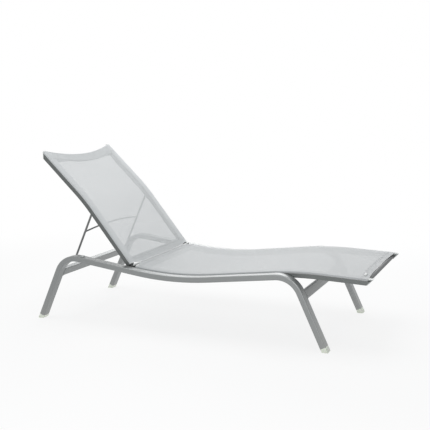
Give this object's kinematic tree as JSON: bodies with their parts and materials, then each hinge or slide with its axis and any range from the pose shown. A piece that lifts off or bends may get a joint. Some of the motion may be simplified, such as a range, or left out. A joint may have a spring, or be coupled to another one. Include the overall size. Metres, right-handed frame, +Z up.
{
  "type": "sun lounger",
  "caption": "Low sun lounger with bent side tubes, a sling seat with a dipped profile and a hinged sling backrest propped by a rod bail in notched racks.",
  "frame": {"origin": "on the floor, midway along the length and between the two side frames", "axes": "+X towards the foot end, +Y towards the sitter's left, +Z up"},
  "size_m": [1.7236, 0.73, 0.8589],
  "materials": {
    "frame_paint": "satin silver-grey powder coat",
    "rail_aluminium": "satin, fine extruded lines",
    "bail_paint": "satin grey powder coat",
    "sling_cloth": "open woven mesh",
    "cord_plastic": "matte",
    "cap_plastic": "matte, moulded",
    "grey_plastic": "matte, moulded",
    "black_plastic": "matte, moulded",
    "glide_plastic": "milky, slightly clear",
    "zinc_steel": "zinc plated"
  },
  "bodies": {
    "frame": {"side_frame_right": "frame_paint", "side_frame_left": "frame_paint", "rear_cross_bar": "frame_paint", "front_cross_bar": "frame_paint", "leg_glides": "glide_plastic", "seat_rail_right": "rail_aluminium", "seat_rail_left": "rail_aluminium", "seat_rail_end_caps": "cap_plastic", "seat_rail_bolts": "zinc_steel", "seat_rail_spacers": "black_plastic", "rivet_nuts": "zinc_steel", "foot_spreader": "rail_aluminium", "hinge_spreader": "rail_aluminium", "seat_spreader_plugs": "black_plastic", "seat_spreader_screws": "zinc_steel", "seat_sling": "sling_cloth", "seat_edge_cords": "cord_plastic", "seat_hinge_knuckles": "black_plastic", "bail_bushes": "black_plastic", "bail_stops": "grey_plastic"},
    "backrest": {"back_rail_right": "rail_aluminium", "back_rail_left": "rail_aluminium", "back_rail_end_caps": "cap_plastic", "back_hinge_forks": "black_plastic", "hinge_bolts": "zinc_steel", "hinge_nuts": "zinc_steel", "back_top_spreader": "rail_aluminium", "back_bottom_spreader": "rail_aluminium", "back_spreader_plugs": "black_plastic", "back_spreader_screws": "zinc_steel", "back_sling": "sling_cloth", "back_edge_cords": "cord_plastic", "notch_racks": "rail_aluminium", "rack_screws": "zinc_steel"},
    "bail": {"bail_leg_right": "bail_paint", "bail_leg_left": "bail_paint", "bail_cross_rod": "bail_paint", "bail_spacer_sleeves": "black_plastic", "bail_clips": "zinc_steel"}
  },
  "joints": [
    {"name": "backrest_recline", "type": "hinge", "parent": "frame", "child": "backrest", "pos_m": [-0.32906, 0, 0.29381], "axis": [0, -1, 0], "range_deg": [0, 44]},
    {"name": "bail_pivot", "type": "hinge", "parent": "frame", "child": "bail", "pos_m": [-0.68386, 0, 0.3095], "axis": [0, -1, 0], "range_deg": [0, 113]}
  ],
  "couplings": [
    {"joint": "bail_pivot", "follows": "backrest_recline", "ratio": 2.55}
  ]
}
